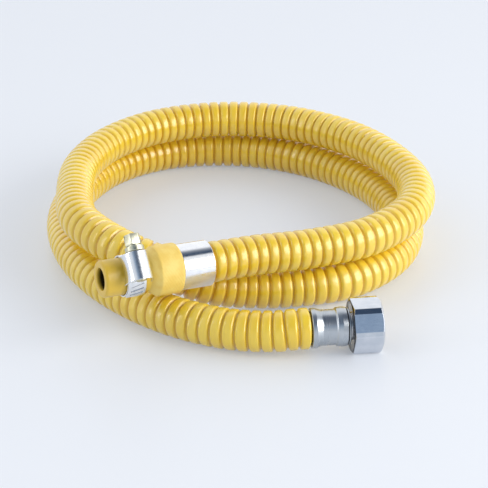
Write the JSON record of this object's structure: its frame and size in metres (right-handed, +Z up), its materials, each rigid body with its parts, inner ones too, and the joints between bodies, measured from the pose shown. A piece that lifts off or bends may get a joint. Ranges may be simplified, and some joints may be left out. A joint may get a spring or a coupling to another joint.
{
  "type": "flexible gas hose",
  "caption": "Flexible corrugated gas hose lying in a double loop, with a swivel union nut at one end and a moulded rubber push-on socket with a worm-drive clamp at the other.",
  "frame": {"origin": "on the floor under the middle of the whole part", "axes": "+Z up, +Y along the longer side of the coil, away from the end with the union nut, +X from the mouth of the rubber socket towards its ferrule"},
  "size_m": [0.2087, 0.2705, 0.0576],
  "materials": {
    "yellow_jacket": "gloss",
    "yellow_rubber": "matte",
    "satin_chrome": "satin",
    "chrome": "polished",
    "stainless": "satin",
    "zinc": "satin",
    "gasket_rubber": "matte"
  },
  "bodies": {
    "hose": {"hose_jacket": "yellow_jacket", "steel_bellows": "stainless", "nut_end_ferrule": "satin_chrome", "tail_pipe": "stainless", "sealing_gasket": "gasket_rubber", "rubber_socket": "yellow_rubber", "socket_ferrule": "chrome", "socket_nipple": "stainless", "clamp_band": "stainless", "clamp_housing": "chrome"},
    "union_nut": {"swivel_nut": "satin_chrome"},
    "worm_screw": {"clamp_screw": "zinc"}
  },
  "joints": [
    {"name": "nut_swivel", "type": "hinge", "parent": "hose", "child": "union_nut", "pos_m": [0.00626, -0.1203, 0.012], "axis": [0.9563, -0.2924, 0], "continuous": true},
    {"name": "worm_screw_turn", "type": "hinge", "parent": "hose", "child": "worm_screw", "pos_m": [-0.0894, -0.07879, 0.04308], "axis": [0.0275, 0.6157, 0.7875], "range_deg": [0, 3750]}
  ]
}
